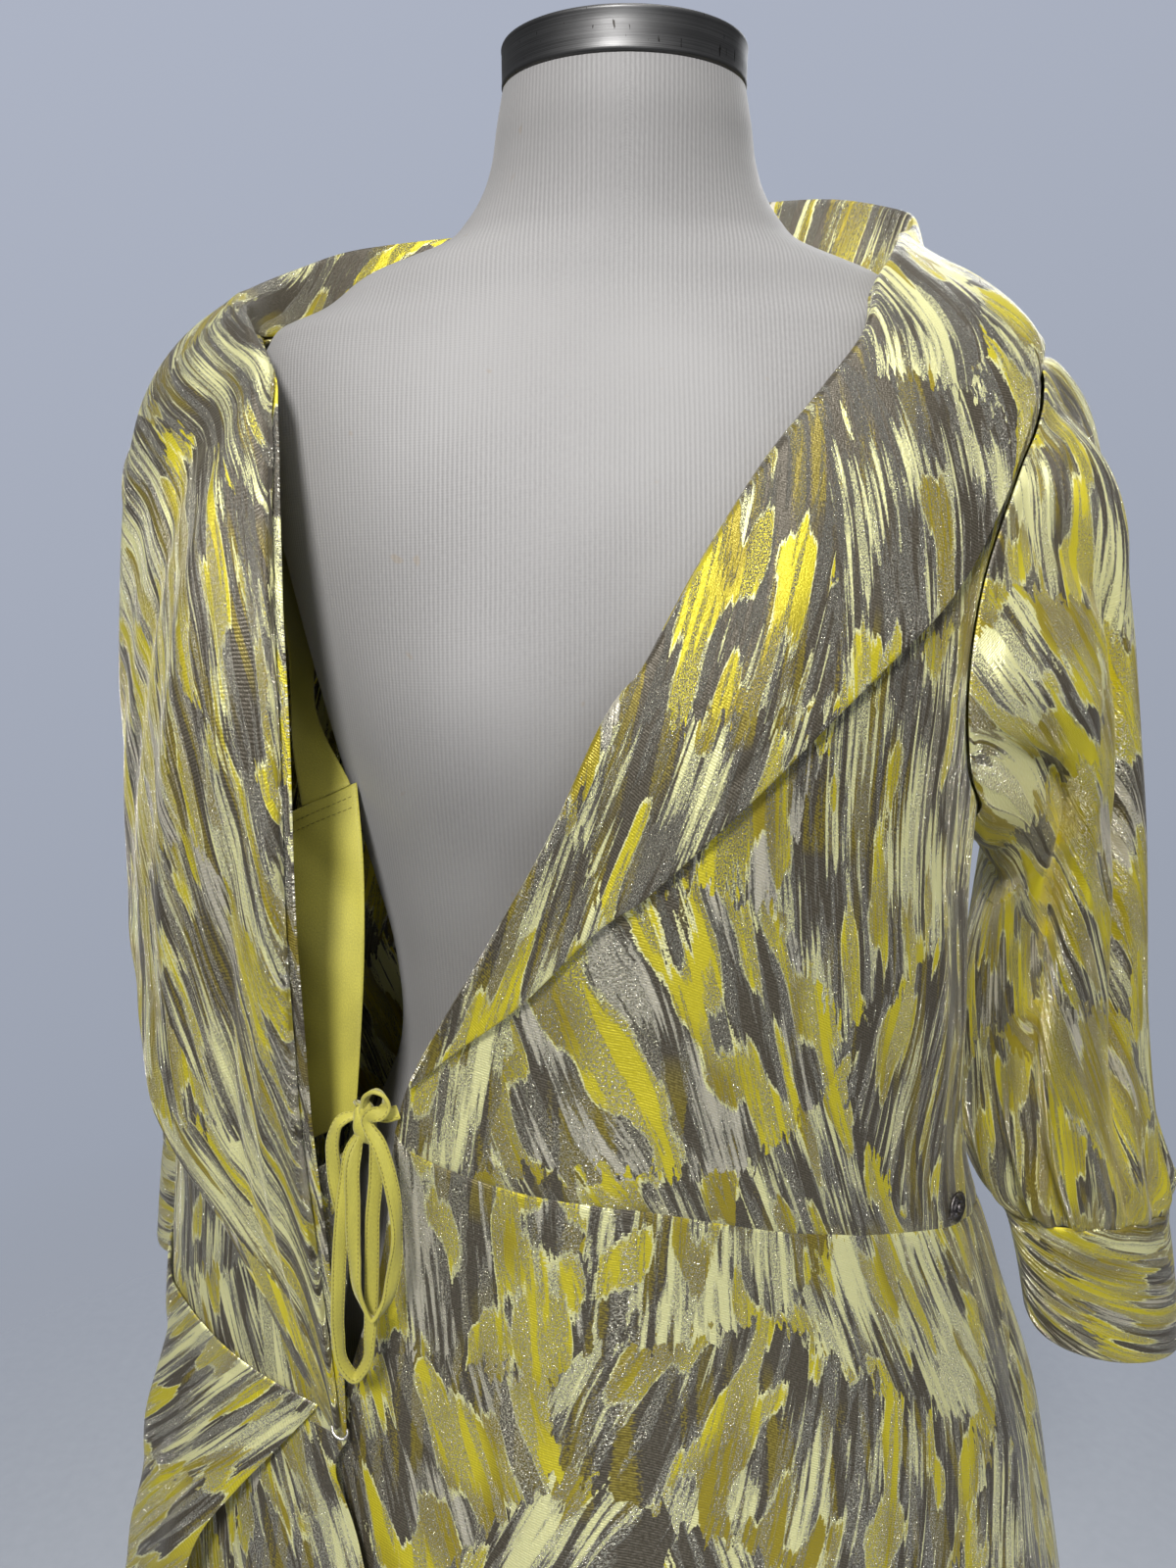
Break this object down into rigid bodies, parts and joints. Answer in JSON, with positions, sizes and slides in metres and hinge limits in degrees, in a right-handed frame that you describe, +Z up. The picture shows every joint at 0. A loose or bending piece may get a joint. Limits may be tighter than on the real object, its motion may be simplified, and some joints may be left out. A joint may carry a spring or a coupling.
{
  "type": "evening gown on a dress form",
  "caption": "Long wrap evening gown with a wide shawl collar, full elbow sleeves and hanging ties, open at the front on a limbless dress form with a round base.",
  "frame": {"origin": "centre of the stand's foot, on the floor, under the dress form's axis", "axes": "+Z up along the form's axis, -Y to the wearer's front, +X to the wearer's left"},
  "size_m": [0.8573, 0.7064, 1.524],
  "materials": {
    "jacquard": "metallic jacquard, satin",
    "crepe": "matt crepe",
    "linen": "fine ribbed linen jersey",
    "steel": "brushed",
    "hook_wire": "bright wire",
    "dark_metal": "black nickel"
  },
  "bodies": {
    "root": {"front_left_bodice": "jacquard", "front_right_bodice": "jacquard", "back_bodice": "jacquard", "collar_left": "jacquard", "collar_right": "jacquard", "sleeve_left": "jacquard", "sleeve_right": "jacquard", "cuff_left": "jacquard", "cuff_right": "jacquard", "skirt_front_left": "jacquard", "skirt_front_right": "jacquard", "skirt_cascade_right": "jacquard", "skirt_back": "jacquard", "front_facing_right": "jacquard", "inner_wrap_panel": "crepe", "inner_strap": "crepe", "tie_knot": "crepe", "tie_lead_left": "crepe", "tie_lead_right": "crepe", "tie_loop_top": "crepe", "tie_loop_long": "crepe", "tie_loop_short": "crepe", "tie_end_left": "crepe", "snap_stud": "dark_metal", "hook": "hook_wire", "form_torso": "linen", "form_neck_cap": "steel", "form_pole": "steel", "form_base": "steel"}
  },
  "joints": []
}
